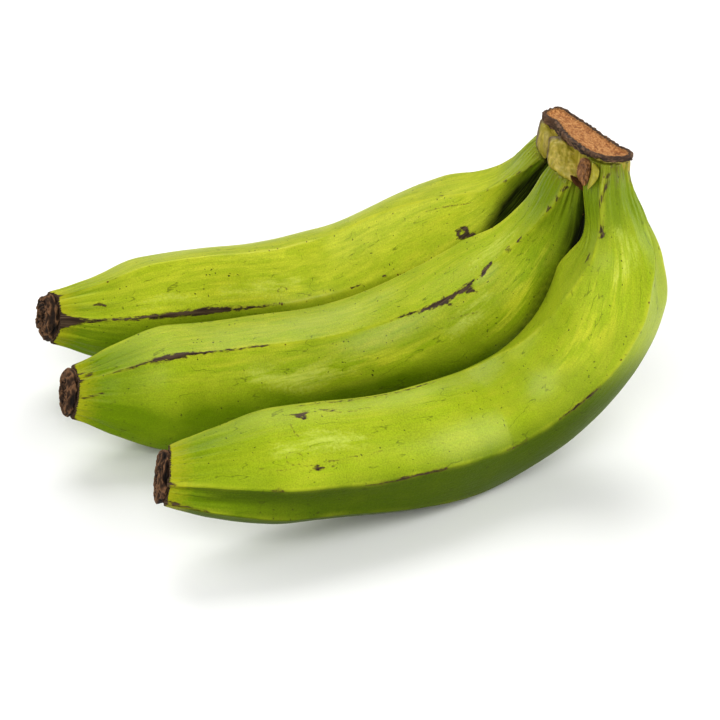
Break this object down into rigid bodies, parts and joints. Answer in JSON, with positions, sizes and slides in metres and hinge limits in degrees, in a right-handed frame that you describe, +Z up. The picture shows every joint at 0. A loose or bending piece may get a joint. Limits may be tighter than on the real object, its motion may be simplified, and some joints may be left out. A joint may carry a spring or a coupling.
{
  "type": "plantain hand",
  "caption": "Green plantains joined at one cut woody crown, lying on their bellies with the dried flower ends slightly raised.",
  "frame": {"origin": "on the resting surface, under the middle of the hand's bounding box", "axes": "+Z up; the fingers point toward -X and fan out from front (-Y) to back (+Y); the cut crown is at +X, raised"},
  "size_m": [0.2497, 0.2135, 0.1315],
  "materials": {
    "green_skin": "satin waxy green fruit peel with yellowing ridges, brown scars and fine specks",
    "crown_wood": "dry fibrous cut face, tan, with a dark dried rim and pale green pads",
    "dried_flower": "dried, wrinkled, dark brown flower remains, matt"
  },
  "bodies": {
    "root": {"finger_front": "green_skin", "finger_middle": "green_skin", "finger_back": "green_skin", "flower_end_front": "dried_flower", "flower_end_middle": "dried_flower", "flower_end_back": "dried_flower", "crown": "crown_wood"}
  },
  "joints": []
}
